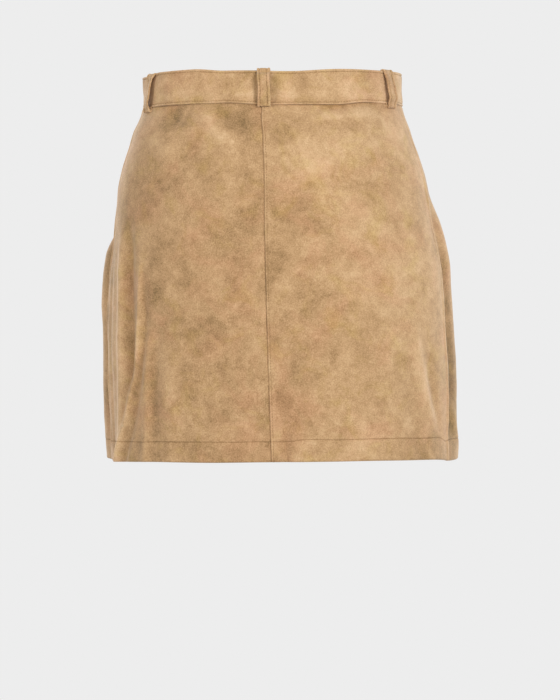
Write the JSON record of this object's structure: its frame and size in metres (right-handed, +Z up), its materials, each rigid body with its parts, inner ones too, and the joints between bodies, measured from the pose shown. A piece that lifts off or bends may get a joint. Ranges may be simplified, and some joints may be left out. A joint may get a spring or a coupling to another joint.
{
  "type": "suede mini skirt",
  "caption": "High-waisted suede mini skirt in worn form: hollow shell open at waist and hem, waistband with belt loops, centre seams, front zip and button.",
  "frame": {"origin": "middle of the waist ring, half way up the waistband, where the wearer's waist holds the skirt", "axes": "+Z up, the skirt's front faces -Y, +X towards the wearer's left"},
  "size_m": [0.3726, 0.2279, 0.4024],
  "materials": {
    "suede_panels": "napped suede, tan with mottled brown patches",
    "suede_band": "napped suede, tan, a little lighter along its edges",
    "suede_inside": "smooth matt flesh side",
    "thread": "matt brown sewing thread",
    "zip_tape": "woven brown tape",
    "brass": "satin antique brass"
  },
  "bodies": {
    "skirt": {"waistband": "suede_band", "back_panel_left": "suede_panels", "back_panel_right": "suede_panels", "front_panel_left": "suede_panels", "front_panel_right": "suede_panels", "belt_loop_centre_back": "suede_band", "belt_loop_back_left": "suede_band", "belt_loop_back_right": "suede_band", "belt_loop_front_left": "suede_band", "belt_loop_front_right": "suede_band", "zip_tape_left": "zip_tape", "zip_tape_right": "zip_tape", "zip_chain": "brass", "zip_slider": "brass", "zip_bottom_stop": "brass", "waistband_button": "brass"},
    "pull_tab": {"zip_pull_tab": "brass"}
  },
  "joints": [
    {"name": "pull_tab_hinge", "type": "hinge", "parent": "skirt", "child": "pull_tab", "pos_m": [0.00046, -0.08919, -0.02464], "axis": [-1, 0, 0], "range_deg": [0, 150]}
  ]
}
